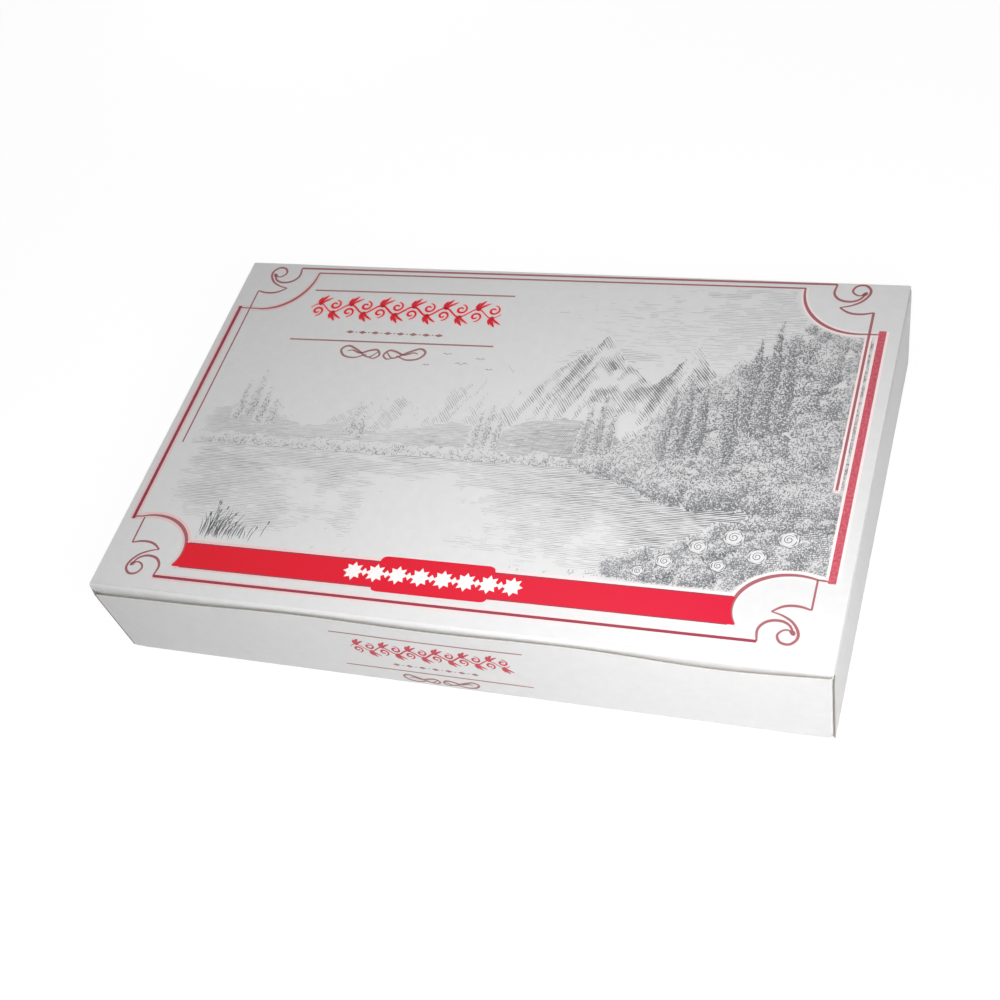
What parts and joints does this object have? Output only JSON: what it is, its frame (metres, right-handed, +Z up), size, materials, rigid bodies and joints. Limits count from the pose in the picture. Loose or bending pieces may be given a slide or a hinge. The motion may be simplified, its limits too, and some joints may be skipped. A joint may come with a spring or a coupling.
{
  "type": "turkish delight box",
  "caption": "Flat folding carton for Turkish delight with rolled side walls, a hinged tuck lid and rows of cut sweets on a paper liner.",
  "frame": {"origin": "middle of the underside, on the surface that the box stands on", "axes": "+Z up; the front wall with the tuck flap faces -Y and the hinge is at +Y; +X along the length, to the right seen from the front"},
  "size_m": [0.27, 0.17, 0.038],
  "materials": {
    "printed_boxboard": "satin",
    "boxboard": "satin",
    "red_print": "satin",
    "grey_print": "matte",
    "greaseproof_paper": "matte",
    "lokum": "matte"
  },
  "bodies": {
    "base": {"bottom_panel": "boxboard", "front_wall": "printed_boxboard", "back_wall": "boxboard", "right_outer_wall": "boxboard", "left_outer_wall": "boxboard", "right_inner_wall": "boxboard", "left_inner_wall": "boxboard", "front_right_corner_flap": "boxboard", "front_left_corner_flap": "boxboard", "back_right_corner_flap": "boxboard", "back_left_corner_flap": "boxboard", "paper_liner": "greaseproof_paper", "lokum_row_1": "lokum", "lokum_row_2": "lokum", "lokum_row_3": "lokum", "lokum_row_4": "lokum", "lokum_row_5": "lokum", "lokum_row_6": "lokum"},
    "lid": {"lid_panel": "printed_boxboard"},
    "tuck_flap": {"tuck_flap": "boxboard"},
    "right_ear": {"right_ear": "boxboard"},
    "left_ear": {"left_ear": "boxboard"}
  },
  "joints": [
    {"name": "lid_hinge", "type": "hinge", "parent": "base", "child": "lid", "pos_m": [0, 0.085, 0.038], "axis": [-1, 0, 0], "range_deg": [0, 180]},
    {"name": "tuck_flap_fold", "type": "hinge", "parent": "lid", "child": "tuck_flap", "pos_m": [0, -0.0845, 0.038], "axis": [-1, 0, 0], "range_deg": [0, 60]},
    {"name": "right_ear_fold", "type": "hinge", "parent": "lid", "child": "right_ear", "pos_m": [0.133, 0, 0.038], "axis": [0, -1, 0], "range_deg": [0, 60]},
    {"name": "left_ear_fold", "type": "hinge", "parent": "lid", "child": "left_ear", "pos_m": [-0.133, 0, 0.038], "axis": [0, 1, 0], "range_deg": [0, 60]}
  ],
  "couplings": [
    {"joint": "tuck_flap_fold", "follows": "lid_hinge", "ratio": 0.3333},
    {"joint": "right_ear_fold", "follows": "lid_hinge", "ratio": 0.3333},
    {"joint": "left_ear_fold", "follows": "lid_hinge", "ratio": 0.3333}
  ]
}
